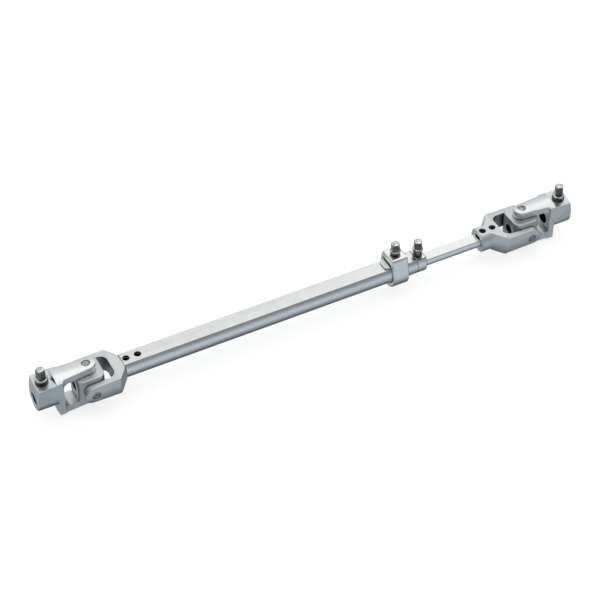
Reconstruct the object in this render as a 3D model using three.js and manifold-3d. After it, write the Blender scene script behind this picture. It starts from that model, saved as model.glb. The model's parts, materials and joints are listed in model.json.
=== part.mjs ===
// Telescoping drive shaft with a universal joint at each end.
// Millimetres, +X along the shaft, +Z up. The origin is midway between the two hub ends,
// at the height of the surface that the lower fork arms rest on.

import * as THREE from 'three';
import { mergeVertices } from 'three/addons/utils/BufferGeometryUtils.js';
import Module from 'manifold-3d';

const wasm = await Module();
wasm.setup();

// ---------- driving dimensions ----------

const GAP = 0.3; // clearance kept between touching pieces
const PIVOT_SPAN = 407.4; // distance between the two joint centres
const YOKE_R = 20; // both yokes are turned to this radius
const AXIS_Z = YOKE_R; // height of the joint axis above the resting surface

// Fork yoke: carries the hub that clamps on the driven shaft.
const HUB_END = 45.9; // joint centre to the flat ring round the bore's mouth
const HUB_FACE_R = 8.4; // outer radius of that ring
const HUB_DOME_R = 75; // the rest of the end face is turned to a dome
const HUB_HALF_WIDTH = 10.7;
const HUB_TOP = 16.6;
const HUB_ROUND_Z = 0.8; // height of the centre of the hub's round underside
const HUB_STEP = 28.6; // where the hub meets the fork
const BORE_R = 5.3;
const WINDOW_END = 23.5;
const WINDOW_HALF_HEIGHT = 12.4;
const WINDOW_CORNER_R = 5;
const FORK_ROOT_X = 20.3;
const FORK_ROOT_HALF_WIDTH = 8.4;
const FORK_TIP_R = 6.4;
const FORK_TIP_X = 1.4; // centre of the rounded tip, past the joint centre

// Shaft yoke: its arms lie level, and its base takes the tube or the rod.
const SLOT_HALF_WIDTH = 13;
const SLOT_CORNER_R = 6.5;
const ARM_TIP_R = 7.56;
const ARM_TIP_X = 1.4;
const SLAB_HALF_HEIGHT = 8.15;
const TUBE_YOKE = { slotEnd: 20.3, shoulder: 21.2, end: 30.2, endR: 10.2 };
const ROD_YOKE = { slotEnd: 22.9, shoulder: 24.6, collarStart: 34, end: 43.4, collarR: 10.7 };
const ROD_YOKE_FLAT_START = 23.5;
const COLLAR_FLAT = 9.3;
const COLLAR_SCREWS = [29.2, 39.1];

// Cross block, its bushes and its pins.
const BLOCK_HALF_X = 11.9;
const BLOCK_CORNER_R = 6;
const BLOCK_BORE_R = 4.6;
const PIN_R = 3.2;
const PIN_INNER_END = 5.2;
const PIN_OUTER_END = 19.4;
const BUSH_R = 4.7;
const BUSH_INNER_END = 5.4;

// Outer tube: flattened round section, set a little above the joint axis.
const TUBE_RISE = 1.87;
const TUBE_R = 10;
const TUBE_FLAT = 7.54;
const TUBE_WALL = 2.2;
const TUBE_FLAT_WALL = 1.72;
const TUBE_END = 299.2; // from the left joint centre
const SPIGOT_LENGTH = 21;
const TUBE_SCREWS = [33.9, 44.1];

// End bush, inner rod and clamp, placed from the left joint centre.
const END_BUSH = { start: 299.5, end: 309.3, bevel: 1.6, tongue: 26 };
const END_BOLT = { x: 303.6, seat: 15 };
const ROD_R = 5.9;
const ROD_FLAT = 3.6;
const ROD_START = 182;
const ROD_INSET = 26; // rod end to the right joint centre
const CLAMP = { start: 274, end: 289, boltX: 281.5, top: 19.2, bottomR: 12.9, bevel: 0.6 };
const CLAMP_PLATE = { start: 269.3, end: 288.7, halfWidth: 6.5, thickness: 2, cornerR: 3.6 };
const CLAMP_CHANNEL = 3.8; // height of the plate's channel above the tube's flat
const COLLAR_PLATE = { halfWidth: 3.2, thickness: 1.3, inset: 3, cornerR: 1.2 };

// Fasteners.
const SHANK_R = 3;
const FLANGE_H = 1.8;
const SQUARE = 6.3;
const HUB_BOLT = { x: -37.6, flangeR: 5.3, headH: 9.8, washerR: 5.6 };
const LINK_BOLT = { flangeR: 4.6, headH: 7.4, washerR: 4.4 };
const WASHER_THICKNESS = 1.6;
const STACK = WASHER_THICKNESS + 2 * GAP; // a seated flange above the face under its washer
const SET_SCREW = { r: 2.7, holeR: 3, length: 5, socketR: 1.7, socketDepth: 2.2 };

const ROUND = 48; // facets of a large round surface
const SMALL = 20; // facets of pins, holes and bolts

// ---------- materials ----------

const finishes = {
  satinAluminium: { color: 0xc9cdce, roughness: 0.35, metalness: 1 },
  brightSteel: { color: 0xb4b6b6, roughness: 0.22, metalness: 1 },
  pinSteel: { color: 0x8f9193, roughness: 0.45, metalness: 1 },
  blackSteel: { color: 0x1b1b1c, roughness: 0.5, metalness: 1 },
  bronze: { color: 0x9c7a45, roughness: 0.4, metalness: 1 },
};

// ---------- geometry helpers ----------

function toSolid(geometry) {
  geometry.deleteAttribute('normal');
  geometry.deleteAttribute('uv');
  const merged = mergeVertices(geometry, 1e-4);
  const index = merged.index.array;
  const triangles = [];
  for (let i = 0; i < index.length; i += 3) {
    const [a, b, c] = [index[i], index[i + 1], index[i + 2]];
    if (a !== b && b !== c && c !== a) triangles.push(a, b, c);
  }
  return new wasm.Manifold(new wasm.Mesh({
    numProp: 3,
    vertProperties: new Float32Array(merged.attributes.position.array),
    triVerts: new Uint32Array(triangles),
  }));
}

function toGeometry(solid) {
  const mesh = solid.getMesh();
  const geometry = new THREE.BufferGeometry();
  geometry.setAttribute('position', new THREE.BufferAttribute(new Float32Array(mesh.vertProperties), 3));
  geometry.setIndex(new THREE.BufferAttribute(new Uint32Array(mesh.triVerts), 1));
  geometry.computeVertexNormals();
  return geometry;
}

function box(x0, x1, y0, y1, z0, z1) {
  const geometry = new THREE.BoxGeometry(x1 - x0, y1 - y0, z1 - z0);
  geometry.translate((x0 + x1) / 2, (y0 + y1) / 2, (z0 + z1) / 2);
  return toSolid(geometry);
}

// A cone or cylinder along X, from radius r0 at x0 to r1 at x1.
function coneX(r0, r1, x0, x1, facets = ROUND) {
  const geometry = new THREE.CylinderGeometry(r1, r0, x1 - x0, facets);
  geometry.rotateZ(-Math.PI / 2);
  geometry.translate((x0 + x1) / 2, 0, 0);
  return toSolid(geometry);
}

// A solid of revolution about X. The outline is [x, radius] points that start and end on the axis.
function turned(outline) {
  const geometry = new THREE.LatheGeometry(outline.map(([x, r]) => new THREE.Vector2(r, x)), ROUND);
  geometry.rotateZ(-Math.PI / 2);
  return toSolid(geometry);
}

// A cone or cylinder along Z, standing at (x, y).
function coneZ(r0, r1, z0, z1, x = 0, y = 0, facets = SMALL) {
  const geometry = new THREE.CylinderGeometry(r1, r0, z1 - z0, facets);
  geometry.rotateX(Math.PI / 2);
  geometry.translate(x, y, (z0 + z1) / 2);
  return toSolid(geometry);
}

function cylinderY(r, y0, y1) {
  const geometry = new THREE.CylinderGeometry(r, r, y1 - y0, SMALL);
  geometry.translate(0, (y0 + y1) / 2, 0);
  return toSolid(geometry);
}

function extrude(shape, depth, bevel, curveSegments) {
  const geometry = new THREE.ExtrudeGeometry(shape, {
    depth: depth - 2 * bevel,
    curveSegments,
    bevelEnabled: bevel > 0,
    bevelSize: bevel,
    bevelOffset: -bevel,
    bevelThickness: bevel,
    bevelSegments: 1,
  });
  geometry.translate(0, 0, bevel);
  return geometry;
}

// A shape drawn in (y, z), extruded along X.
function extrudeX(shape, x0, x1, bevel = 0, curveSegments = 16) {
  const geometry = extrude(shape, x1 - x0, bevel, curveSegments);
  geometry.rotateX(Math.PI / 2);
  geometry.rotateZ(Math.PI / 2);
  geometry.translate(x0, 0, 0);
  return toSolid(geometry);
}

// A shape drawn in (x, z), extruded along Y.
function extrudeY(shape, y0, y1, curveSegments = 16) {
  const geometry = extrude(shape, y1 - y0, 0, curveSegments);
  geometry.rotateX(Math.PI / 2);
  geometry.translate(0, y1, 0);
  return toSolid(geometry);
}

// A shape drawn in (x, y), extruded along Z.
function extrudeZ(shape, z0, z1, bevel = 0, curveSegments = 16) {
  const geometry = extrude(shape, z1 - z0, bevel, curveSegments);
  geometry.translate(0, 0, z0);
  return toSolid(geometry);
}

// ---------- outlines ----------

function roundedRectangle(u0, u1, v0, v1, r) {
  const shape = new THREE.Shape();
  shape.absarc(u1 - r, v0 + r, r, -Math.PI / 2, 0);
  shape.absarc(u1 - r, v1 - r, r, 0, Math.PI / 2);
  shape.absarc(u0 + r, v1 - r, r, Math.PI / 2, Math.PI);
  shape.absarc(u0 + r, v0 + r, r, Math.PI, 1.5 * Math.PI);
  return shape;
}

// A round section with a flat at the top and the bottom.
function flattenedRound(r, flat, centreZ) {
  const angle = Math.asin(flat / r);
  const shape = new THREE.Shape();
  shape.absarc(0, centreZ, r, -angle, angle);
  shape.absarc(0, centreZ, r, Math.PI - angle, Math.PI + angle);
  return shape;
}

// The hub's section: flat top and sides, half-round below.
function hubSection() {
  const shape = new THREE.Shape();
  shape.absarc(0, HUB_ROUND_Z, HUB_HALF_WIDTH, Math.PI, 2 * Math.PI);
  shape.lineTo(HUB_HALF_WIDTH, HUB_TOP);
  shape.lineTo(-HUB_HALF_WIDTH, HUB_TOP);
  return shape;
}

// The fork seen from above: shouldered root, tapering arm and round tip.
function forkPlan() {
  const rootAngle = Math.atan2(FORK_ROOT_HALF_WIDTH, -FORK_ROOT_X - FORK_TIP_X);
  const reach = Math.hypot(FORK_ROOT_X + FORK_TIP_X, FORK_ROOT_HALF_WIDTH);
  const tangent = rootAngle - Math.acos(FORK_TIP_R / reach);
  const shape = new THREE.Shape();
  shape.moveTo(-HUB_STEP, -HUB_HALF_WIDTH);
  shape.lineTo(-WINDOW_END, -HUB_HALF_WIDTH);
  shape.quadraticCurveTo(-WINDOW_END + 0.4, -FORK_ROOT_HALF_WIDTH, -FORK_ROOT_X, -FORK_ROOT_HALF_WIDTH);
  shape.absarc(FORK_TIP_X, 0, FORK_TIP_R, -tangent, tangent);
  shape.lineTo(-FORK_ROOT_X, FORK_ROOT_HALF_WIDTH);
  shape.quadraticCurveTo(-WINDOW_END + 0.4, FORK_ROOT_HALF_WIDTH, -WINDOW_END, HUB_HALF_WIDTH);
  shape.lineTo(-HUB_STEP, HUB_HALF_WIDTH);
  return shape;
}

// The shaft yoke seen from the side: round arm tips, a slab that thickens towards
// the base, and a base of its own half height.
function yokeProfile(flatStart, baseHalfHeight, end) {
  const shape = new THREE.Shape();
  shape.absarc(-ARM_TIP_X, 0, ARM_TIP_R, Math.PI / 2, 1.5 * Math.PI);
  shape.lineTo(flatStart, -SLAB_HALF_HEIGHT);
  shape.lineTo(flatStart, -baseHalfHeight);
  shape.lineTo(end, -baseHalfHeight);
  shape.lineTo(end, baseHalfHeight);
  shape.lineTo(flatStart, baseHalfHeight);
  shape.lineTo(flatStart, SLAB_HALF_HEIGHT);
  return shape;
}

// The clamp block's section: round below, leaning sides, crowned top.
function clampSection() {
  const { bottomR, top } = CLAMP;
  const sideAngle = 0.24;
  const shoulder = { y: 9.9, z: top - 4.6 };
  const crown = 6.4;
  const shape = new THREE.Shape();
  shape.absarc(0, 0, bottomR, Math.PI - sideAngle, 2 * Math.PI + sideAngle);
  shape.lineTo(shoulder.y, shoulder.z);
  shape.quadraticCurveTo(shoulder.y - 0.9, top, crown, top);
  shape.lineTo(-crown, top);
  shape.quadraticCurveTo(-shoulder.y + 0.9, top, -shoulder.y, shoulder.z);
  return shape;
}

// ---------- universal joint pieces, drawn about the joint centre ----------

// The hub's turned outside: a flat ring round the bore, then a shallow dome.
function hubTurning() {
  const rim = YOKE_R + 1;
  const steps = 5;
  const outline = [[-HUB_END, 0]];
  for (let i = 0; i <= steps; i++) {
    const r = HUB_FACE_R + (rim - HUB_FACE_R) * i / steps;
    const drop = Math.sqrt(HUB_DOME_R ** 2 - HUB_FACE_R ** 2) - Math.sqrt(HUB_DOME_R ** 2 - r ** 2);
    outline.push([-HUB_END + drop, r]);
  }
  outline.push([-WINDOW_END - 1, rim], [-WINDOW_END - 1, 0]);
  return turned(outline);
}

// The cove that sweeps from the hub's flat up to the fork's crown.
function hubCove() {
  const radius = YOKE_R - HUB_TOP;
  const start = -HUB_STEP - radius;
  const outline = [];
  for (const degrees of [14, 30, 46, 62, 78]) {
    const angle = THREE.MathUtils.degToRad(degrees);
    outline.push([start + radius * Math.sin(angle), HUB_TOP + radius * (1 - Math.cos(angle))]);
  }
  outline.unshift([outline[0][0], 0]);
  outline.push([-HUB_STEP, YOKE_R], [-HUB_STEP + 1, YOKE_R], [-HUB_STEP + 1, 0]);
  return turned(outline)
    .intersect(box(start, -HUB_STEP, -HUB_HALF_WIDTH, HUB_HALF_WIDTH, 0, YOKE_R + 1));
}

// Fork yoke, hub towards -X and arms above and below.
function endYoke() {
  const fork = extrudeZ(forkPlan(), -YOKE_R, YOKE_R)
    .intersect(coneX(YOKE_R, YOKE_R, -HUB_STEP, FORK_TIP_X + FORK_TIP_R + 1));
  const hub = extrudeX(hubSection(), -HUB_END - 1, -WINDOW_END - 0.5).intersect(hubTurning());
  const window = extrudeY(
    roundedRectangle(-WINDOW_END, YOKE_R, -WINDOW_HALF_HEIGHT, WINDOW_HALF_HEIGHT, WINDOW_CORNER_R),
    -YOKE_R,
    YOKE_R,
    6,
  );
  const mouth = coneX(BORE_R + 1, BORE_R, -HUB_END, -HUB_END + 1, SMALL);
  return fork.add(hubCove()).add(hub)
    .subtract(window)
    .subtract(coneX(BORE_R, BORE_R, -HUB_END - 1, -WINDOW_END + 1, SMALL))
    .subtract(mouth)
    .subtract(coneZ(SHANK_R + GAP, SHANK_R + GAP, 0, HUB_TOP + 1, HUB_BOLT.x))
    .subtract(coneZ(PIN_R + GAP, PIN_R + GAP, -YOKE_R - 1, YOKE_R + 1));
}

// A length of turned bar with a conical shoulder, cut to a yoke with its arms towards -X.
function shaftYoke(bar, profile, slotEnd) {
  const slot = extrudeZ(
    roundedRectangle(-YOKE_R, slotEnd, -SLOT_HALF_WIDTH, SLOT_HALF_WIDTH, SLOT_CORNER_R),
    -YOKE_R,
    YOKE_R,
    0,
    8,
  );
  return bar
    .intersect(extrudeY(profile, -YOKE_R - 1, YOKE_R + 1, 12))
    .subtract(slot)
    .subtract(cylinderY(PIN_R + GAP, -YOKE_R - 1, YOKE_R + 1));
}

// The bar's outside: full radius, a small round at the shoulder, and the cone.
function turnedBar(shoulder, coneEnd, coneEndR) {
  const breakR = YOKE_R - 0.9;
  const breakX = shoulder + 1.5;
  return coneX(YOKE_R, YOKE_R, -ARM_TIP_X - ARM_TIP_R - 1, shoulder)
    .add(coneX(YOKE_R, breakR, shoulder, breakX))
    .add(coneX(breakR, coneEndR, breakX, coneEnd));
}

// Yoke that plugs into the outer tube with a spigot.
function tubeYoke() {
  const { slotEnd, shoulder, end, endR } = TUBE_YOKE;
  const spigot = extrudeX(
    flattenedRound(TUBE_R - TUBE_WALL - GAP, TUBE_FLAT - TUBE_FLAT_WALL - GAP, TUBE_RISE),
    end - 1,
    end + SPIGOT_LENGTH,
  );
  let yoke = shaftYoke(
    turnedBar(shoulder, end, endR),
    yokeProfile(shoulder, SLAB_HALF_HEIGHT, end + 1),
    slotEnd,
  ).add(spigot);
  for (const x of TUBE_SCREWS) {
    yoke = yoke.subtract(coneZ(SET_SCREW.holeR, SET_SCREW.holeR, TUBE_RISE - 3, YOKE_R, x));
  }
  return yoke;
}

// Yoke with the collar that clamps the inner rod under a pressure plate.
function rodYoke() {
  const { slotEnd, shoulder, collarStart, end, collarR } = ROD_YOKE;
  const chamfer = 0.6;
  const bar = turnedBar(shoulder, collarStart, collarR)
    .add(coneX(collarR, collarR, collarStart, end - chamfer))
    .add(coneX(collarR, collarR - chamfer, end - chamfer, end));
  const plateTop = ROD_FLAT + GAP + COLLAR_PLATE.thickness;
  const channelHalf = COLLAR_PLATE.halfWidth + GAP;
  let yoke = shaftYoke(bar, yokeProfile(ROD_YOKE_FLAT_START, COLLAR_FLAT, end + 1), slotEnd)
    .subtract(extrudeX(flattenedRound(ROD_R + GAP, ROD_FLAT + GAP, 0), ROD_INSET - GAP, end + 1))
    .subtract(box(ROD_INSET - GAP, end + 1, -channelHalf, channelHalf, 0, plateTop + GAP));
  for (const x of COLLAR_SCREWS) {
    yoke = yoke.subtract(coneZ(SET_SCREW.holeR, SET_SCREW.holeR, 0, YOKE_R, x));
  }
  return yoke;
}

// Cross block with a hole along the shaft and a bush seat on each of its four sides.
function crossBlock() {
  const halfY = SLOT_HALF_WIDTH - GAP;
  const halfZ = WINDOW_HALF_HEIGHT - GAP;
  const plan = roundedRectangle(-BLOCK_HALF_X, BLOCK_HALF_X, -halfY, halfY, BLOCK_CORNER_R);
  const seatR = BUSH_R + GAP;
  const seatEnd = BUSH_INNER_END - GAP;
  return extrudeZ(plan, -halfZ, halfZ, 0, 6)
    .subtract(coneX(BLOCK_BORE_R, BLOCK_BORE_R, -BLOCK_HALF_X - 1, BLOCK_HALF_X + 1, SMALL))
    .subtract(cylinderY(PIN_R + GAP, -seatEnd, seatEnd))
    .subtract(coneZ(PIN_R + GAP, PIN_R + GAP, -seatEnd, seatEnd))
    .subtract(cylinderY(seatR, seatEnd, halfY + 1))
    .subtract(cylinderY(seatR, -halfY - 1, -seatEnd))
    .subtract(coneZ(seatR, seatR, seatEnd, halfZ + 1))
    .subtract(coneZ(seatR, seatR, -halfZ - 1, -seatEnd));
}

// A pin standing on +Z, staked at its outer end.
function pin() {
  const chamfer = 0.4;
  return coneZ(PIN_R, PIN_R, PIN_INNER_END, PIN_OUTER_END - chamfer)
    .add(coneZ(PIN_R, PIN_R - chamfer, PIN_OUTER_END - chamfer, PIN_OUTER_END));
}

// A bush standing on +Z, flush with the face of the block at the given height.
function bush(face) {
  return coneZ(BUSH_R, BUSH_R, BUSH_INNER_END, face)
    .subtract(coneZ(PIN_R + GAP, PIN_R + GAP, BUSH_INNER_END - 1, face + 1));
}

// ---------- tube, rod and clamp, drawn about the joint axis with X from the left joint ----------

function outerTube() {
  const start = TUBE_YOKE.end + GAP;
  const outside = extrudeX(flattenedRound(TUBE_R, TUBE_FLAT, TUBE_RISE), start, TUBE_END);
  const insideSection = flattenedRound(TUBE_R - TUBE_WALL, TUBE_FLAT - TUBE_FLAT_WALL, TUBE_RISE);
  let tube = outside.subtract(extrudeX(insideSection, start - 1, TUBE_END + 1));
  for (const x of TUBE_SCREWS) {
    tube = tube.subtract(coneZ(SET_SCREW.holeR, SET_SCREW.holeR, TUBE_RISE, YOKE_R, x));
  }
  return tube;
}

// Bush that closes the tube, with a tongue above the rod that reaches into the tube.
function endBush() {
  const { start, end, bevel, tongue } = END_BUSH;
  const side = new THREE.Shape();
  side.moveTo(start, -TUBE_FLAT);
  side.lineTo(end - bevel, -TUBE_FLAT);
  side.lineTo(end, -TUBE_FLAT + bevel);
  side.lineTo(end, TUBE_FLAT - bevel);
  side.lineTo(end - bevel, TUBE_FLAT);
  side.lineTo(start, TUBE_FLAT);
  const head = coneX(TUBE_R, TUBE_R, start, end - bevel)
    .add(coneX(TUBE_R, TUBE_R - bevel, end - bevel, end))
    .intersect(extrudeY(side, -TUBE_R - 1, TUBE_R + 1))
    .translate([0, 0, TUBE_RISE]);
  const tongueTop = TUBE_RISE + TUBE_FLAT - TUBE_FLAT_WALL - GAP;
  const tongueHalf = 4.6;
  const block = box(start - tongue, start + 1, -tongueHalf, tongueHalf, ROD_FLAT + GAP, tongueTop);
  const boltHole = coneZ(SHANK_R + GAP, SHANK_R + GAP, 0, YOKE_R, END_BOLT.x);
  const rodHole = extrudeX(flattenedRound(ROD_R + GAP, ROD_FLAT + GAP, 0), start - 1, end + 1);
  return head.add(block).subtract(rodHole).subtract(boltHole);
}

function innerRod() {
  const end = PIVOT_SPAN - ROD_INSET - GAP;
  return extrudeX(flattenedRound(ROD_R, ROD_FLAT, 0), ROD_START, end);
}

function clampBlock() {
  const { start, end, boltX, bevel } = CLAMP;
  const tubeTop = TUBE_RISE + TUBE_FLAT;
  const channelHalf = CLAMP_PLATE.halfWidth + GAP;
  const tubeHole = flattenedRound(TUBE_R + GAP, TUBE_FLAT + GAP, TUBE_RISE);
  return extrudeX(clampSection(), start, end, bevel, 12)
    .subtract(extrudeX(tubeHole, start - 1, end + 1))
    .subtract(box(start - 1, end + 1, -channelHalf, channelHalf, TUBE_RISE, tubeTop + CLAMP_CHANNEL))
    .subtract(coneZ(SHANK_R + GAP, SHANK_R + GAP, TUBE_RISE, YOKE_R + 2, boltX));
}

// A flat plate with rounded corners, lying at the given height.
function pressurePlate(plate, start, end, bottom) {
  const plan = roundedRectangle(start, end, -plate.halfWidth, plate.halfWidth, plate.cornerR);
  return extrudeZ(plan, bottom, bottom + plate.thickness, 0, 6);
}

// ---------- fasteners, drawn standing at the origin on the flange's underside ----------

function keyBolt({ flangeR, headH }, shankLength) {
  const tip = 0.5;
  const square = roundedRectangle(-SQUARE / 2, SQUARE / 2, -SQUARE / 2, SQUARE / 2, 0.9);
  return coneZ(SHANK_R - tip, SHANK_R, -shankLength, -shankLength + tip)
    .add(coneZ(SHANK_R, SHANK_R, -shankLength + tip, tip))
    .add(coneZ(flangeR, flangeR, 0, FLANGE_H - 0.6))
    .add(coneZ(flangeR, flangeR - 0.9, FLANGE_H - 0.6, FLANGE_H))
    .add(extrudeZ(square, FLANGE_H - 0.8, FLANGE_H + headH, 0.7, 2));
}

function lockWasher({ washerR }) {
  return coneZ(washerR, washerR, 0, WASHER_THICKNESS)
    .subtract(coneZ(SHANK_R + GAP, SHANK_R + GAP, -1, WASHER_THICKNESS + 1));
}

function setScrew(length) {
  const { r, socketR, socketDepth } = SET_SCREW;
  const depth = Math.min(socketDepth, length - 0.8);
  return coneZ(r, r, 0, length)
    .subtract(coneZ(socketR, socketR, length - depth, length + 1, 0, 0, 6));
}

// ---------- assembly ----------

const shaft = new THREE.Group();
shaft.position.set(-PIVOT_SPAN / 2, 0, AXIS_Z);

function place(parent, name, solid, finish) {
  const mesh = new THREE.Mesh(toGeometry(solid), new THREE.MeshStandardMaterial(finishes[finish]));
  mesh.name = name;
  parent.add(mesh);
  return mesh;
}

// A key bolt with its flange's underside at the seat, and its lock washer lying on the face below.
function placeBolt(parent, name, type, x, face, seat, tipHeight, turn) {
  const washer = place(parent, `${name}_lock_washer`, lockWasher(type), 'brightSteel');
  washer.position.set(x, 0, face + GAP);
  const bolt = place(parent, `${name}_key_bolt`, keyBolt(type, seat - tipHeight), 'brightSteel');
  bolt.position.set(x, 0, seat);
  bolt.rotation.z = turn;
}

// One universal joint: fork yoke, cross block, four bushes and four pins.
// The right-hand joint is the left-hand one turned half round the vertical.
function placeJoint(side, x, halfTurn, boltTurn) {
  const joint = new THREE.Group();
  joint.position.x = x;
  joint.rotation.z = halfTurn;
  shaft.add(joint);
  place(joint, `${side}_end_yoke`, endYoke(), 'satinAluminium');
  place(joint, `${side}_cross_block`, crossBlock(), 'satinAluminium');
  placeBolt(joint, side, HUB_BOLT, HUB_BOLT.x, HUB_TOP, HUB_TOP + STACK, BORE_R + 0.6, boltTurn);
  const quarter = Math.PI / 2;
  const stations = [
    { at: 'upper', tilt: 0, face: WINDOW_HALF_HEIGHT - GAP },
    { at: 'lower', tilt: Math.PI, face: WINDOW_HALF_HEIGHT - GAP },
    { at: 'front', tilt: halfTurn ? -quarter : quarter, face: SLOT_HALF_WIDTH - GAP },
    { at: 'rear', tilt: halfTurn ? quarter : -quarter, face: SLOT_HALF_WIDTH - GAP },
  ];
  for (const { at, tilt, face } of stations) {
    place(joint, `${side}_${at}_bush`, bush(face), 'bronze').rotation.x = tilt;
    place(joint, `${side}_${at}_pin`, pin(), 'pinSteel').rotation.x = tilt;
  }
  return joint;
}

const leftJoint = placeJoint('left', 0, 0, 0.15);
place(leftJoint, 'left_inner_yoke', tubeYoke(), 'satinAluminium');
TUBE_SCREWS.forEach((x, i) => {
  const screw = place(leftJoint, `left_set_screw_${i + 1}`, setScrew(SET_SCREW.length), 'blackSteel');
  screw.position.set(x, 0, TUBE_RISE - 3 + GAP);
});

const rightJoint = placeJoint('right', PIVOT_SPAN, Math.PI, -0.4);
place(rightJoint, 'right_inner_yoke', rodYoke(), 'satinAluminium');
const collarPlate = pressurePlate(
  COLLAR_PLATE,
  ROD_INSET + 0.5,
  ROD_YOKE.end - COLLAR_PLATE.inset,
  ROD_FLAT + GAP,
);
place(rightJoint, 'collar_pressure_plate', collarPlate, 'pinSteel');
const collarScrewBottom = ROD_FLAT + 2 * GAP + COLLAR_PLATE.thickness;
COLLAR_SCREWS.forEach((x, i) => {
  const screw = place(rightJoint, `right_set_screw_${i + 1}`, setScrew(1.9), 'blackSteel');
  screw.position.set(x, 0, collarScrewBottom);
});

place(shaft, 'outer_tube', outerTube(), 'satinAluminium');
place(shaft, 'tube_end_bush', endBush(), 'satinAluminium');
place(shaft, 'inner_rod', innerRod(), 'satinAluminium');
const tubeTopFace = TUBE_RISE + TUBE_FLAT;
placeBolt(shaft, 'tube', LINK_BOLT, END_BOLT.x, tubeTopFace, END_BOLT.seat, ROD_FLAT + GAP, -0.35);

place(shaft, 'clamp_block', clampBlock(), 'satinAluminium');
const plateBottom = tubeTopFace + GAP;
const clampPlate = pressurePlate(CLAMP_PLATE, CLAMP_PLATE.start, CLAMP_PLATE.end, plateBottom);
place(shaft, 'clamp_pressure_plate', clampPlate, 'pinSteel');
const clampBoltTip = plateBottom + CLAMP_PLATE.thickness + GAP;
placeBolt(shaft, 'clamp', LINK_BOLT, CLAMP.boltX, CLAMP.top, CLAMP.top + STACK, clampBoltTip, -0.25);

const assembly = new THREE.Group();
assembly.add(shaft);
export default assembly;
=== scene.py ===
import json
import math

import bmesh
import bpy
from mathutils import Matrix, Vector


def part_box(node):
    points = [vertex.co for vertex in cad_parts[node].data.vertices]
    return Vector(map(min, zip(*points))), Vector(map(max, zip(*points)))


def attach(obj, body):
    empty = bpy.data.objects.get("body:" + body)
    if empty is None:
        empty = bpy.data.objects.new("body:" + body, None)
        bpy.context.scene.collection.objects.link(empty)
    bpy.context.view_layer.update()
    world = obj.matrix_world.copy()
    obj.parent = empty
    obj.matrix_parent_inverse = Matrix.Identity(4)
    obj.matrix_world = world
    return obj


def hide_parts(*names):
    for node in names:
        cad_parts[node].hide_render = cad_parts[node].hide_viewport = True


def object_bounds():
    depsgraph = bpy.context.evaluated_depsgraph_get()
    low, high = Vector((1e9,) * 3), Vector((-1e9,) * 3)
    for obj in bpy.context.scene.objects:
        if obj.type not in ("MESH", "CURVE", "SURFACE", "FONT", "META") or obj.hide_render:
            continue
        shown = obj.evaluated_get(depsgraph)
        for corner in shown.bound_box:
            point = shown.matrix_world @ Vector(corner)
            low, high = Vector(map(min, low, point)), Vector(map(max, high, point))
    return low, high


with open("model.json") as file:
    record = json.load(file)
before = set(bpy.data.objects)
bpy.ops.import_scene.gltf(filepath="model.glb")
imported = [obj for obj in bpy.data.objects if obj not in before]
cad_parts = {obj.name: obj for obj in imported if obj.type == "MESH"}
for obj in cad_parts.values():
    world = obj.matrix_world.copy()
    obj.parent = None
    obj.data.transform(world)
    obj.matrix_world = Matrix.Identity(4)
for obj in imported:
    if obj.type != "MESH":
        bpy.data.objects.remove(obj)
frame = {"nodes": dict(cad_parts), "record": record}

MM = 0.001
CAD_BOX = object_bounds()

# Height of the joints' centres, which is the shaft's own axis too.
AXIS_Z = (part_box("left_cross_block")[0].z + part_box("left_cross_block")[1].z) / 2
HUB_BORE_R = 5.4 * MM  # just clears the wall of the hub's bore


def centre(node):
    low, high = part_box(node)
    return (low + high) / 2


# ---------- camera, floor and light ----------


def add_camera():
    """A long lens, looking down on the shaft from the front left."""
    pivot_span = centre("right_cross_block").x - centre("left_cross_block").x
    azimuth, elevation, roll = math.radians(-27.09), math.radians(43.7), math.radians(-0.23)
    back = Vector((
        math.sin(azimuth) * math.cos(elevation),
        -math.cos(azimuth) * math.cos(elevation),
        math.sin(elevation),
    ))
    level = Vector((math.cos(azimuth), math.sin(azimuth), 0))
    up = back.cross(level)
    right = level * math.cos(roll) + up * math.sin(roll)
    up = up * math.cos(roll) - level * math.sin(roll)
    camera = bpy.data.objects.new("camera", bpy.data.cameras.new("camera"))
    camera.data.sensor_width = 36
    camera.data.lens = 108.35
    place = Matrix((right, up, back)).transposed().to_4x4()
    left_joint = Vector((-pivot_span / 2, 0, AXIS_Z))
    place.translation = left_joint + Vector((-304.2, -968.4, 1044.0)) * MM
    camera.matrix_world = place
    bpy.context.scene.collection.objects.link(camera)
    bpy.context.scene.camera = camera


def add_floor():
    """White paper lit a little from below, as on a light table, so that shadows stay faint."""
    bm = bmesh.new()
    bmesh.ops.create_grid(bm, x_segments=1, y_segments=1, size=6)
    mesh = bpy.data.meshes.new("floor")
    bm.to_mesh(mesh)
    bm.free()
    floor = bpy.data.objects.new("floor", mesh)
    floor.location.z = CAD_BOX[0][2] - 0.2 * MM
    bpy.context.scene.collection.objects.link(floor)
    material = bpy.data.materials.new("floor_paper")
    material.use_nodes = True
    shader = material.node_tree.nodes["Principled BSDF"]
    shader.inputs["Base Color"].default_value = (0.42, 0.42, 0.425, 1)
    shader.inputs["Roughness"].default_value = 1
    shader.inputs["Specular IOR Level"].default_value = 0
    shader.inputs["Emission Color"].default_value = (1, 1, 1, 1)
    shader.inputs["Emission Strength"].default_value = 0.78
    mesh.materials.append(material)
    floor.visible_glossy = False


def add_softbox(name, place, aim, size, power):
    light = bpy.data.lights.new(name, "AREA")
    light.size = size
    light.energy = power
    box = bpy.data.objects.new(name, light)
    box.location = place
    box.rotation_euler = (Vector(aim) - Vector(place)).to_track_quat("-Z", "Y").to_euler()
    bpy.context.scene.collection.objects.link(box)


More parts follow.
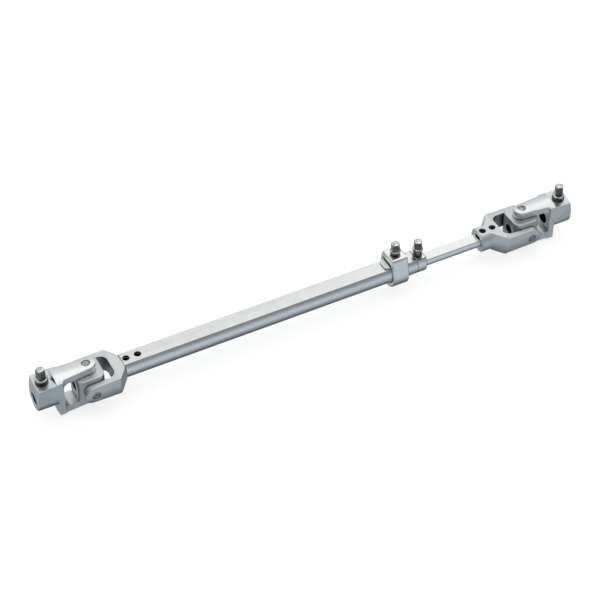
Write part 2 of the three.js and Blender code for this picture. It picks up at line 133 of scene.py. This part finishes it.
# Brightness of the tent from straight down (0) through the horizon (0.5) to straight up (1).
FRONT_LIGHT = [
    (0.0, 0.08), (0.066, 0.20), (0.155, 0.40), (0.215, 0.48), (0.36, 0.64),
    (0.52, 0.56), (0.605, 0.42), (0.70, 0.27), (0.86, 0.22), (1.0, 0.60),
]
REAR_LIGHT = [
    (0.0, 0.08), (0.05, 0.14), (0.155, 0.42), (0.30, 0.50), (0.50, 0.64), (0.68, 0.77), (1.0, 0.82),
]
COOL = (0.90, 1.0, 1.09)
NEUTRAL = (1.0, 1.005, 0.995)
COOL_BELOW = 0.62


def add_studio():
    """A tent of light: bright above and behind, dimmer in front, below and past the right end."""
    world = bpy.data.worlds.new("studio_tent")
    world.use_nodes = True
    nodes, links = world.node_tree.nodes, world.node_tree.links
    coords = nodes.new("ShaderNodeTexCoord")
    split = nodes.new("ShaderNodeSeparateXYZ")
    links.new(coords.outputs["Generated"], split.inputs[0])
    height = nodes.new("ShaderNodeMapRange")
    height.inputs["From Min"].default_value = -1
    links.new(split.outputs["Z"], height.inputs["Value"])
    rear = ramp(nodes, REAR_LIGHT)
    front = ramp(nodes, FRONT_LIGHT)
    links.new(height.outputs[0], rear.inputs[0])
    links.new(height.outputs[0], front.inputs[0])

    # From the front light to the rear light across the shaft's own plane.
    facing = nodes.new("ShaderNodeMapRange")
    facing.interpolation_type = "SMOOTHSTEP"
    facing.inputs["From Min"].default_value = -0.35
    facing.inputs["From Max"].default_value = 0.35
    links.new(split.outputs["Y"], facing.inputs["Value"])
    blend = nodes.new("ShaderNodeMix")
    blend.data_type = "RGBA"
    links.new(facing.outputs[0], blend.inputs["Factor"])
    links.new(front.outputs[0], blend.inputs["A"])
    links.new(rear.outputs[0], blend.inputs["B"])

    # Half as bright past the right end.
    far_end = nodes.new("ShaderNodeMapRange")
    far_end.inputs["From Min"].default_value = 0.45
    far_end.inputs["From Max"].default_value = 0.85
    far_end.inputs["To Min"].default_value = 1
    far_end.inputs["To Max"].default_value = 0.5
    links.new(split.outputs["X"], far_end.inputs["Value"])
    background = nodes["Background"]
    links.new(blend.outputs["Result"], background.inputs["Color"])
    links.new(far_end.outputs[0], background.inputs["Strength"])
    bpy.context.scene.world = world
    add_softbox("overhead_softbox", (0.5, 0.1, 2.0), (0, 0, 0), 2.4, 8)
    add_softbox("rear_softbox", (1.75, 1.86, 2.0), (0.2, 0, 0), 1.2, 0.5)
    add_softbox("side_softbox", (1.6, -0.7, 1.2), (0.1, 0, 0), 0.9, 3)


def ramp(nodes, stops):
    node = nodes.new("ShaderNodeValToRGB")
    elements = node.color_ramp.elements
    while len(elements) < len(stops):
        elements.new(0.5)
    for element, (position, value) in zip(elements, stops):
        tint = COOL if position < COOL_BELOW else NEUTRAL
        element.position = position
        element.color = (value * tint[0], value * tint[1], value * tint[2], 1)
    return node


# ---------- materials ----------


def metal(
    name, colour, roughness, grain, stretch=(1, 1, 1), bump=0.15,
    stain=0.05, wear=0.12, patch=70, upright_painted_shade=1, bore=0,
):
    """Bare metal: fine grain, cloudy staining and brighter worn edges, with painted shade in the gaps, on
    upright faces and down the bore.

    grain and patch are how many grains and stains there are to a metre.
    sides is how bright the upright faces are painted beside the level ones: painted shade on the upright
    faces, painted light on the tops.
    bore is the radius about the shaft's axis inside which the metal is painted dark: painted shade down
    the bore.
    """
    material = bpy.data.materials.new(name)
    material.use_nodes = True
    nodes, links = material.node_tree.nodes, material.node_tree.links
    shader = nodes["Principled BSDF"]
    shader.inputs["Metallic"].default_value = 1
    coords = nodes.new("ShaderNodeTexCoord")

    def noise(scale, detail, spread):
        mapping = nodes.new("ShaderNodeMapping")
        mapping.inputs["Scale"].default_value = spread
        texture = nodes.new("ShaderNodeTexNoise")
        texture.inputs["Scale"].default_value = scale
        texture.inputs["Detail"].default_value = detail
        links.new(coords.outputs["Object"], mapping.inputs["Vector"])
        links.new(mapping.outputs[0], texture.inputs["Vector"])
        return texture.outputs["Fac"]

    def remap(value, low, high, start=0.3, end=0.7):
        node = nodes.new("ShaderNodeMapRange")
        node.inputs["From Min"].default_value = start
        node.inputs["From Max"].default_value = end
        node.inputs["To Min"].default_value = low
        node.inputs["To Max"].default_value = high
        links.new(value, node.inputs["Value"])
        return node.outputs[0]

    def multiply(a, b):
        node = nodes.new("ShaderNodeMath")
        node.operation = "MULTIPLY"
        links.new(a, node.inputs[0])
        links.new(b, node.inputs[1])
        return node.outputs[0]

    def openness(reach):
        node = nodes.new("ShaderNodeAmbientOcclusion")
        node.inputs["Distance"].default_value = reach
        node.samples = 8
        return node.outputs["AO"]

    fine = noise(grain, 3, stretch)
    cloud = noise(patch, 4, (1, 1, 1))
    edges = nodes.new("ShaderNodeNewGeometry").outputs["Pointiness"]
    upward = nodes.new("ShaderNodeSeparateXYZ")
    links.new(coords.outputs["Normal"], upward.inputs[0])
    shade = multiply(remap(fine, 1 - stain, 1 + stain), remap(cloud, 1 - stain, 1 + stain))
    shade = multiply(shade, remap(edges, 1, 1 + wear, 0.51, 0.56))
    # Painted shade: upright faces come out darker than level ones, as if lit from above.
    shade = multiply(shade, remap(upward.outputs["Z"], upright_painted_shade, 1, 0.1, 0.8))
    # Painted shade: the colour darkens where nearby surfaces close in, in recesses, creases and the gaps
    # between parts.
    recess_painted_shade = remap(openness(25 * MM), 0.12, 1, 0.03, 0.35)
    gap_painted_shade = remap(openness(2.5 * MM), 0.25, 1, 0.2, 0.6)
    shade = multiply(multiply(shade, recess_painted_shade), gap_painted_shade)
    # Painted shade: everything within the bore's radius of the shaft's axis is darkened.
    if bore:
        from_axis = nodes.new("ShaderNodeMapping")
        from_axis.inputs["Location"].default_value = (0, 0, -AXIS_Z)
        from_axis.inputs["Scale"].default_value = (0, 1, 1)
        radius = nodes.new("ShaderNodeVectorMath")
        radius.operation = "LENGTH"
        links.new(coords.outputs["Object"], from_axis.inputs["Vector"])
        links.new(from_axis.outputs[0], radius.inputs[0])
        shade = multiply(shade, remap(radius.outputs["Value"], 0.06, 1, bore, bore + 0.3 * MM))
    tint = nodes.new("ShaderNodeVectorMath")
    tint.operation = "SCALE"
    tint.inputs[0].default_value = colour
    links.new(shade, tint.inputs["Scale"])
    links.new(tint.outputs[0], shader.inputs["Base Color"])
    polish = multiply(remap(fine, roughness * 0.88, roughness * 1.12), remap(cloud, 0.85, 1.15))
    links.new(polish, shader.inputs["Roughness"])
    relief = nodes.new("ShaderNodeBump")
    relief.inputs["Strength"].default_value = bump
    relief.inputs["Distance"].default_value = 0.05 * MM
    links.new(fine, relief.inputs["Height"])
    links.new(relief.outputs[0], shader.inputs["Normal"])
    return material


def make_materials():
    along = (0.02, 1, 1)
    return {
        "end_yokes": metal(
            "satin_fork", (0.725, 0.74, 0.745), 0.32, 1400, bump=0.10, stain=0.035, bore=HUB_BORE_R,
        ),
        "yokes": metal("milled_yoke", (0.65, 0.67, 0.67), 0.46, 1200, bump=0.16, stain=0.06),
        "cross_blocks": metal("satin_block", (0.61, 0.625, 0.625), 0.36, 1500, stain=0.07),
        "tube": metal("drawn_tube", (0.79, 0.805, 0.81), 0.24, 2600, along, bump=0.05, stain=0.02),
        "rod": metal("ground_rod", (0.78, 0.79, 0.79), 0.22, 2600, along, bump=0.05, stain=0.02),
        "clamp": metal(
            "satin_clamp", (0.94, 0.955, 0.955), 0.27, 1500, bump=0.08, stain=0.03, wear=0.03, upright_painted_shade=0.88,
        ),
        "key_bolts": metal(
            "nickel_plate", (0.62, 0.62, 0.62), 0.14, 520, bump=1.0, stain=0.36, patch=420, upright_painted_shade=0.26,
        ),
        "washers": metal(
            "dull_washer", (0.30, 0.30, 0.30), 0.28, 900, bump=0.3, stain=0.15, patch=300, upright_painted_shade=0.25,
        ),
        "pins": metal("staked_pin", (0.36, 0.365, 0.37), 0.34, 480, bump=1.0, stain=0.36, patch=420),
        "pressure_plates": metal("pressed_plate", (0.76, 0.77, 0.765), 0.30, 1300, patch=200),
        "joint_bushes": metal("bearing_bronze", (0.58, 0.42, 0.22), 0.38, 1200),
        "set_screws": metal("black_oxide", (0.03, 0.03, 0.032), 0.45, 1100, stain=0.2, wear=0.8),
    }


# ---------- mesh helpers ----------


def new_piece(name, bm, finish, sharp=35):
    """A smooth-shaded object from a bmesh, creased where its faces turn sharply."""
    bmesh.ops.recalc_face_normals(bm, faces=bm.faces)
    mesh = bpy.data.meshes.new(name)
    bm.to_mesh(mesh)
    bm.free()
    for face in mesh.polygons:
        face.use_smooth = True
    mesh.set_sharp_from_angle(angle=math.radians(sharp))
    piece = bpy.data.objects.new(name, mesh)
    bpy.context.scene.collection.objects.link(piece)
    mesh.materials.append(MATERIALS[finish])
    return piece


def mark_edges(bm, width):
    """Picks the edges that have room for a break of this width, in metres.

    The faces beside an edge have to be wider than the break, and a short edge has to be part of a run.
    """
    weight = bm.edges.layers.float.new("bevel_weight_edge")
    sharp = {edge for edge in bm.edges if edge.calc_face_angle(0) > math.radians(30)}
    for edge in sharp:
        along = all(len(sharp.intersection(vertex.link_edges)) == 2 for vertex in edge.verts)
        room = min(face.calc_area() for face in edge.link_faces) / edge.calc_length()
        middle = sum(vertex.co.x for vertex in edge.verts) / 2
        tight = any(low < abs(middle) - PIVOT_X < high for low, high in TIGHT)
        if room > 1.3 * width and (along or edge.calc_length() > 2.5 * width) and not tight:
            edge[weight] = 1


def round_edges(piece, width):
    """Breaks the marked edges smoothly; every other sharp edge stays crisp."""
    marked = piece.data.attributes["bevel_weight_edge"].data
    for edge, mark in zip(piece.data.edges, marked):
        edge.use_edge_sharp = edge.use_edge_sharp and not mark.value
    bevel = piece.modifiers.new("rounded_edges", "BEVEL")
    bevel.width = width * MM
    bevel.segments = 3
    bevel.limit_method = "WEIGHT"
    bevel.use_clamp_overlap = False
    weights = piece.modifiers.new("flat_faces_stay_flat", "WEIGHTED_NORMAL")
    weights.keep_sharp = True


def loft(bm, loops, close_ends=True):
    """Skins rings of points that all have the same count."""
    rings = [[bm.verts.new(point) for point in loop] for loop in loops]
    count = len(rings[0])
    for lower, upper in zip(rings, rings[1:]):
        for i in range(count):
            j = (i + 1) % count
            bm.faces.new((lower[i], lower[j], upper[j], upper[i]))
    if close_ends:
        bm.faces.new(rings[0][::-1])
        bm.faces.new(rings[-1])


def polar_loop(radius, z):
    """A ring of points at height z, each at the radius that suits its angle, in millimetres."""
    angles = [2 * math.pi * i / AROUND for i in range(AROUND)]
    return [(radius(a) * math.cos(a) * MM, radius(a) * math.sin(a) * MM, z * MM) for a in angles]


def stand_on(piece, foot, axis=(0, 0, 1), turn=0):
    """Moves a mesh drawn on +Z so that it stands at foot, along axis."""
    tilt = Vector((0, 0, 1)).rotation_difference(Vector(axis)).to_matrix().to_4x4()
    piece.data.transform(Matrix.Translation(foot) @ tilt @ Matrix.Rotation(turn, 4, "Z"))


# ---------- pieces ----------

BODY_OF = {n: b for b, members in frame["record"]["behaviour"]["bodies"].items() for n in members}
SLOT_OF = {s["node"]: s["material_slot"] for s in frame["record"]["subparts"]}
AROUND = 48  # points in a full turn

# How wide the breaks on each slot's edges are, in millimetres.
BREAK = {
    "yokes": 0.4, "cross_blocks": 0.6, "tube": 0.15, "rod": 0.25, "clamp": 0.6, "pressure_plates": 0.4,
}
PIVOT_X = centre("right_cross_block").x

# Places along the shaft, from the joint's centre, where small faces leave no room to break the edges:
# the fork's cove, the end of the inner yoke's slot, and the mouth of the rod's collar.
TIGHT = [(27.5 * MM, 33 * MM), (-30 * MM, -24 * MM), (-44.5 * MM, -42 * MM)]


def seat_end(bm, end, neighbour):
    """Closes the CAD's clearance at this end, so that the piece meets its neighbour."""
    step = math.copysign(0.28 * MM, neighbour - end)
    for vertex in bm.verts:
        if abs(vertex.co.x - end) < 0.05 * MM:
            vertex.co.x += step


def refined(node, slot):
    """The CAD shape with its flat faces joined up and its edges broken."""
    bm = bmesh.new()
    bm.from_mesh(frame["nodes"][node].data)
    bmesh.ops.remove_doubles(bm, verts=bm.verts, dist=0.002 * MM)
    bmesh.ops.dissolve_limit(bm, angle_limit=math.radians(1.2), verts=bm.verts, edges=bm.edges)
    if node == "outer_tube":
        seat_end(bm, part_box(node)[0].x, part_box("left_inner_yoke")[0].x)
    mark_edges(bm, BREAK[slot] * MM)
    finish = "end_yokes" if node.endswith("end_yoke") else slot
    piece = new_piece(node + "_finished", bm, finish)
    round_edges(piece, BREAK[slot])
    return piece


# How far each square head is turned, in radians, and how far it stands above its flange, in millimetres.
HEAD_TURN = {
    "left_key_bolt": 0.15, "right_key_bolt": -0.4, "clamp_key_bolt": -0.25, "tube_key_bolt": -0.35,
}
HEAD_HEIGHT = {
    "left_key_bolt": 9.8, "right_key_bolt": 9.8, "clamp_key_bolt": 7.4, "tube_key_bolt": 7.4,
}
FLANGE_HEIGHT = 1.8
HALF_KEY = 3.15  # half the square head's width across its flats
HEAD_CORNER_R = 4.05  # the head's corners are turned to this radius
DOME_HEIGHT = 2.0


def key_bolt(node, slot):
    """Square head with turned corners and a domed top, round flange and threaded shank."""
    low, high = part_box(node)
    top = (high.z - low.z) / MM
    flange_r = (high.y - low.y) / MM / 2
    flange_top = top - HEAD_HEIGHT[node]
    seat = flange_top - FLANGE_HEIGHT
    dome_foot = top - DOME_HEIGHT
    thread_r, thread_depth, pitch = 3.0, 0.35, 1.0

    def round_loop(radius, z):
        return polar_loop(lambda angle: radius, z)

    def thread_loop(z):
        def radius(angle):
            phase = (z / pitch - angle / (2 * math.pi)) % 1
            return thread_r - thread_depth * abs(2 * phase - 1)
        return polar_loop(radius, z)

    def head_loop(z, cap):
        def radius(angle):
            across = max(abs(math.cos(angle)), abs(math.sin(angle)))
            return min(HALF_KEY / across, cap)
        return polar_loop(radius, z)

    steps = int((seat - 1.2) / 0.2)
    loops = [round_loop(2.1, 0), round_loop(2.6, 0.4)]
    loops += [thread_loop(0.6 + i * (seat - 0.9) / steps) for i in range(steps + 1)]
    loops += [
        round_loop(2.8, seat - 0.1),
        round_loop(flange_r - 0.4, seat),
        round_loop(flange_r, seat + 0.3),
        round_loop(flange_r, flange_top - 0.7),
        round_loop(flange_r - 0.2, flange_top - 0.3),
        round_loop(flange_r - 0.7, flange_top),
        head_loop(flange_top + 0.02, 4.3),
        head_loop(flange_top + 0.4, HEAD_CORNER_R),
        head_loop(dome_foot, HEAD_CORNER_R),
    ]
    crown_r = 2.0
    for i in range(1, 8):
        part = i / 8
        cap = crown_r + (HEAD_CORNER_R - crown_r) * math.sqrt(1 - part * part)
        loops.append(head_loop(dome_foot + DOME_HEIGHT * part, cap))
    loops.append(head_loop(top, 1.6))
    bm = bmesh.new()
    loft(bm, loops)
    piece = new_piece(node + "_detailed", bm, slot, sharp=50)
    stand_on(piece, Vector((centre(node).x, centre(node).y, low.z)), turn=HEAD_TURN[node])
    return piece


def lock_washer(node, slot):
    """Spring washer: a square-edged ring with a slanted cut, its ends slightly apart."""
    low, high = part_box(node)
    thick = (high.z - low.z) / MM
    outer, inner = (high.y - low.y) / MM / 2 - 0.2, 3.35
    rise, edge = 0.2, 0.12
    section = [
        (inner + edge, 0), (outer - edge, 0), (outer, edge), (outer, thick - rise - edge),
        (outer - edge, thick - rise), (inner + edge, thick - rise), (inner, thick - rise - edge),
        (inner, edge),
    ]
    loops = []
    for i in range(61):
        part = i / 60
        loop = []
        for radius, z in section:
            angle = math.radians(4 + 350 * part) + 0.12 * z
            level = z + rise * part
            loop.append((radius * math.cos(angle) * MM, radius * math.sin(angle) * MM, level * MM))
        loops.append(loop)
    bm = bmesh.new()
    loft(bm, loops)
    piece = new_piece(node + "_detailed", bm, slot)
    stand_on(piece, Vector((centre(node).x, centre(node).y, low.z)), turn=0.9)
    return piece


def pin(node, slot):
    """Round pin with its outer end staked: a bruised ring round a shallow dish."""
    low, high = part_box(node)
    size = high - low
    along = 2 if size.z > size.y else 1
    joint = Vector((centre(node).x, 0, AXIS_Z))
    outward = Vector((0, 0, 0))
    outward[along] = math.copysign(1, centre(node)[along] - joint[along])
    foot = centre(node) - outward * size[along] / 2
    length, radius = size[along] / MM, 3.2
    outline = [
        (radius - 0.4, 0), (radius, 0.4), (radius, length - 0.45), (radius - 0.12, length - 0.15),
        (radius - 0.4, length), (radius - 0.85, length - 0.02), (radius - 1.15, length - 0.3),
        (radius - 1.5, length - 0.42), (radius - 2.1, length - 0.38), (radius - 2.8, length - 0.22),
    ]
    bm = bmesh.new()
    loft(bm, [polar_loop(lambda angle, r=r: r, z) for r, z in outline])
    piece = new_piece(node + "_detailed", bm, slot)
    stand_on(piece, foot, outward)
    return piece


def set_screw(node, slot):
    """Cup-point grub screw with a hexagon socket."""
    low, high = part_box(node)
    length, radius = (high.z - low.z) / MM, (high.x - low.x) / MM / 2
    depth = min(2.4, length - 0.6)

    def hexagon(angle):
        return 1.5 * math.cos(math.pi / 6) / math.cos((angle + math.pi / 6) % (math.pi / 3) - math.pi / 6)

    loops = [polar_loop(lambda angle, r=r: r, z) for r, z in (
        (radius - 0.9, 0), (radius - 0.3, 0.35), (radius, 0.5),
        (radius, length - 0.35), (radius - 0.35, length),
    )]
    loops += [polar_loop(lambda angle: hexagon(angle) + 0.15, length)]
    loops += [polar_loop(hexagon, length - 0.15), polar_loop(hexagon, length - depth)]
    loops += [polar_loop(lambda angle: 0.3, length - depth - 0.3)]
    bm = bmesh.new()
    loft(bm, loops)
    piece = new_piece(node + "_detailed", bm, slot)
    stand_on(piece, Vector((centre(node).x, centre(node).y, low.z)))
    return piece


def bush(node, slot):
    """Plain bearing bush with chamfered mouths."""
    low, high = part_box(node)
    size = high - low
    along = 2 if size.z < size.y - 0.5 * MM or size.z < size.x - 0.5 * MM else 1
    axis = Vector((0, 0, 0))
    axis[along] = 1
    length, outer, inner, edge = size[along] / MM, size.x / MM / 2, 3.5, 0.25
    outline = [
        (inner, edge), (inner + edge, 0), (outer - edge, 0), (outer, edge),
        (outer, length - edge), (outer - edge, length), (inner + edge, length), (inner, length - edge),
        (inner, edge),
    ]
    bm = bmesh.new()
    loft(bm, [polar_loop(lambda angle, r=r: r, z) for r, z in outline], close_ends=False)
    bmesh.ops.remove_doubles(bm, verts=bm.verts, dist=0.001 * MM)
    piece = new_piece(node + "_detailed", bm, slot)
    stand_on(piece, centre(node) - axis * size[along] / 2, axis)
    return piece


MAKERS = {
    "key_bolts": key_bolt,
    "washers": lock_washer,
    "pins": pin,
    "set_screws": set_screw,
    "joint_bushes": bush,
}

MATERIALS = make_materials()


def main():
    add_camera()
    add_floor()
    add_studio()
    for node, slot in SLOT_OF.items():
        piece = MAKERS.get(slot, refined)(node, slot)
        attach(piece, BODY_OF[node])
        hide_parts(node)
    bpy.context.scene.view_settings.view_transform = "Standard"


main()
